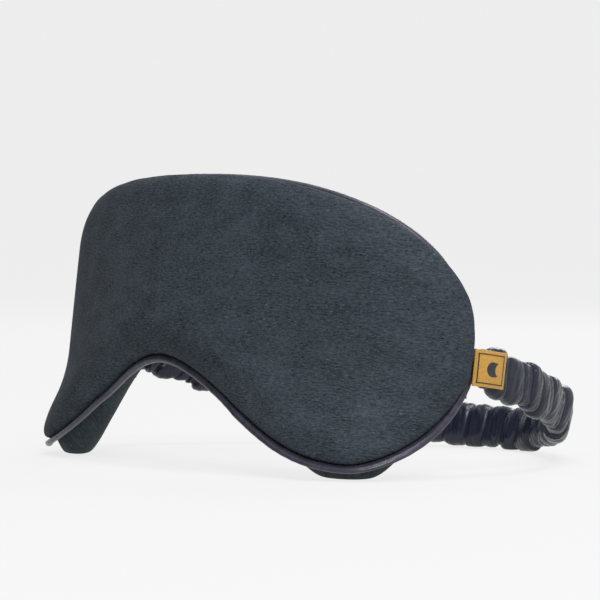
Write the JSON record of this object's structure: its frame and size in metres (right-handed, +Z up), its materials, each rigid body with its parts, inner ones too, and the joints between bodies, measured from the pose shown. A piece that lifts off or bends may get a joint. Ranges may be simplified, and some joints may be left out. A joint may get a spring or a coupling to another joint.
{
  "type": "sleep eye mask",
  "caption": "Padded, curved sleep eye mask with a nose notch, satin piping round its edge, a ruched elastic strap and a small woven label, standing on its cheek lobes.",
  "frame": {"origin": "On the surface the mask stands on, under the middle of the whole mask with its strap loop open behind it.", "axes": "+X to the right of someone facing the mask's front, +Y from the front back towards the wearer's head, +Z up."},
  "size_m": [0.1864, 0.1491, 0.091],
  "materials": {
    "face_velvet": "velvety satin with a short nap",
    "lining_velvet": "soft velvet lining",
    "strap_satin": "ruched satin",
    "piping_satin": "satin piping",
    "wadding": "lofted wadding",
    "blackout_cloth": "close-woven matt cloth",
    "piping_cord_cotton": "twisted cotton cord",
    "elastic_band": "woven elastic",
    "label_weave": "ochre woven label",
    "thread": "dark sewing thread",
    "label_thread": "ochre sewing thread"
  },
  "bodies": {
    "mask": {"front_panel": "face_velvet", "front_wadding": "wadding", "blackout_lining": "blackout_cloth", "back_wadding": "wadding", "back_panel": "lining_velvet", "piping_sleeve": "piping_satin", "piping_cord": "piping_cord_cotton", "elastic_end_left": "elastic_band", "elastic_end_right": "elastic_band", "strap_root_left": "strap_satin", "strap_root_right": "strap_satin", "bar_tack_left": "thread", "bar_tack_right": "thread"},
    "strap_loop": {"strap_cover_left": "strap_satin", "strap_cover_right": "strap_satin", "elastic_left": "elastic_band", "elastic_right": "elastic_band", "woven_label": "label_weave", "label_stitch_front": "label_thread", "label_stitch_rear": "label_thread"},
    "strap_rear": {"strap_cover_rear": "strap_satin", "elastic_rear": "elastic_band"}
  },
  "joints": [
    {"name": "strap_swing", "type": "hinge", "parent": "mask", "child": "strap_loop", "pos_m": [0, -0.00848, 0.03064], "axis": [1, 0, 0], "range_deg": [-30, 50]},
    {"name": "strap_stretch", "type": "slide", "parent": "strap_loop", "child": "strap_rear", "axis": [0, 1, 0], "range_m": [0, 0.07], "stiffness_N_per_m": 60}
  ]
}
